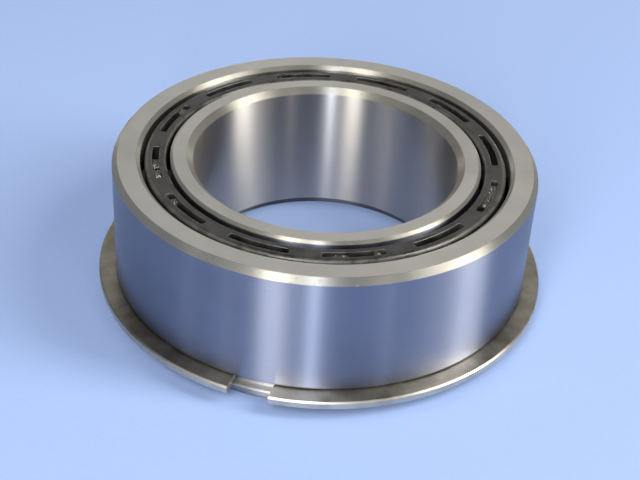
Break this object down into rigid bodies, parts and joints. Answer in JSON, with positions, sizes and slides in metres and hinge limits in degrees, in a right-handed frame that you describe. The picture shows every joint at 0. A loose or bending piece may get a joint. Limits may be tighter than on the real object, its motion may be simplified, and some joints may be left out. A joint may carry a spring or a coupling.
{
  "type": "cylindrical roller bearing",
  "caption": "Single-row cylindrical roller bearing: outer ring with two ribs, inner ring with one, moulded cage, twelve rollers and a split snap ring in a groove.",
  "frame": {"origin": "on the bearing axis, in the plane of the end faces at the snap ring end, which the bearing stands on", "axes": "+Z along the bearing axis, from the snap ring end to the plain end; +X square to it, across the bearing"},
  "size_m": [0.0866, 0.0866, 0.028],
  "materials": {
    "ring_steel": "ground and polished bearing steel, satin end faces, fine grinding lines round the cylindrical faces",
    "roller_steel": "lapped bearing steel, near mirror",
    "spring_steel": "tempered spring steel, brownish grey, rubbed bright at its outer edge",
    "cage_polyamide": "moulded glass-filled polyamide, near black, oily satin"
  },
  "bodies": {
    "outer_ring": {"outer_ring": "ring_steel"},
    "inner_ring": {"inner_ring": "ring_steel"},
    "cage": {"cage": "cage_polyamide"},
    "snap_ring": {"snap_ring": "spring_steel"},
    "roller_01": {"roller_01": "roller_steel"},
    "roller_02": {"roller_02": "roller_steel"},
    "roller_03": {"roller_03": "roller_steel"},
    "roller_04": {"roller_04": "roller_steel"},
    "roller_05": {"roller_05": "roller_steel"},
    "roller_06": {"roller_06": "roller_steel"},
    "roller_07": {"roller_07": "roller_steel"},
    "roller_08": {"roller_08": "roller_steel"},
    "roller_09": {"roller_09": "roller_steel"},
    "roller_10": {"roller_10": "roller_steel"},
    "roller_11": {"roller_11": "roller_steel"},
    "roller_12": {"roller_12": "roller_steel"}
  },
  "joints": [
    {"name": "inner_ring_spin", "type": "hinge", "parent": "outer_ring", "child": "inner_ring", "pos_m": [0, 0, 0.014], "axis": [0, 0, 1], "continuous": true},
    {"name": "cage_orbit", "type": "hinge", "parent": "outer_ring", "child": "cage", "pos_m": [0, 0, 0.014], "axis": [0, 0, 1], "continuous": true},
    {"name": "snap_ring_turn", "type": "hinge", "parent": "outer_ring", "child": "snap_ring", "pos_m": [0, 0, 0.00335], "axis": [0, 0, 1], "continuous": true},
    {"name": "roller_01_spin", "type": "hinge", "parent": "cage", "child": "roller_01", "pos_m": [0.03147, 0.00578, 0.014], "axis": [0, 0, 1], "continuous": true},
    {"name": "roller_02_spin", "type": "hinge", "parent": "cage", "child": "roller_02", "pos_m": [0.02437, 0.02074, 0.014], "axis": [0, 0, 1], "continuous": true},
    {"name": "roller_03_spin", "type": "hinge", "parent": "cage", "child": "roller_03", "pos_m": [0.01073, 0.03015, 0.014], "axis": [0, 0, 1], "continuous": true},
    {"name": "roller_04_spin", "type": "hinge", "parent": "cage", "child": "roller_04", "pos_m": [-0.00578, 0.03147, 0.014], "axis": [0, 0, 1], "continuous": true},
    {"name": "roller_05_spin", "type": "hinge", "parent": "cage", "child": "roller_05", "pos_m": [-0.02074, 0.02437, 0.014], "axis": [0, 0, 1], "continuous": true},
    {"name": "roller_06_spin", "type": "hinge", "parent": "cage", "child": "roller_06", "pos_m": [-0.03015, 0.01073, 0.014], "axis": [0, 0, 1], "continuous": true},
    {"name": "roller_07_spin", "type": "hinge", "parent": "cage", "child": "roller_07", "pos_m": [-0.03147, -0.00578, 0.014], "axis": [0, 0, 1], "continuous": true},
    {"name": "roller_08_spin", "type": "hinge", "parent": "cage", "child": "roller_08", "pos_m": [-0.02437, -0.02074, 0.014], "axis": [0, 0, 1], "continuous": true},
    {"name": "roller_09_spin", "type": "hinge", "parent": "cage", "child": "roller_09", "pos_m": [-0.01073, -0.03015, 0.014], "axis": [0, 0, 1], "continuous": true},
    {"name": "roller_10_spin", "type": "hinge", "parent": "cage", "child": "roller_10", "pos_m": [0.00578, -0.03147, 0.014], "axis": [0, 0, 1], "continuous": true},
    {"name": "roller_11_spin", "type": "hinge", "parent": "cage", "child": "roller_11", "pos_m": [0.02074, -0.02437, 0.014], "axis": [0, 0, 1], "continuous": true},
    {"name": "roller_12_spin", "type": "hinge", "parent": "cage", "child": "roller_12", "pos_m": [0.03015, -0.01073, 0.014], "axis": [0, 0, 1], "continuous": true}
  ],
  "couplings": [
    {"joint": "cage_orbit", "follows": "inner_ring_spin", "ratio": 0.42969},
    {"joint": "roller_01_spin", "follows": "inner_ring_spin", "ratio": -3.4852},
    {"joint": "roller_02_spin", "follows": "inner_ring_spin", "ratio": -3.4852},
    {"joint": "roller_03_spin", "follows": "inner_ring_spin", "ratio": -3.4852},
    {"joint": "roller_04_spin", "follows": "inner_ring_spin", "ratio": -3.4852},
    {"joint": "roller_05_spin", "follows": "inner_ring_spin", "ratio": -3.4852},
    {"joint": "roller_06_spin", "follows": "inner_ring_spin", "ratio": -3.4852},
    {"joint": "roller_07_spin", "follows": "inner_ring_spin", "ratio": -3.4852},
    {"joint": "roller_08_spin", "follows": "inner_ring_spin", "ratio": -3.4852},
    {"joint": "roller_09_spin", "follows": "inner_ring_spin", "ratio": -3.4852},
    {"joint": "roller_10_spin", "follows": "inner_ring_spin", "ratio": -3.4852},
    {"joint": "roller_11_spin", "follows": "inner_ring_spin", "ratio": -3.4852},
    {"joint": "roller_12_spin", "follows": "inner_ring_spin", "ratio": -3.4852}
  ]
}
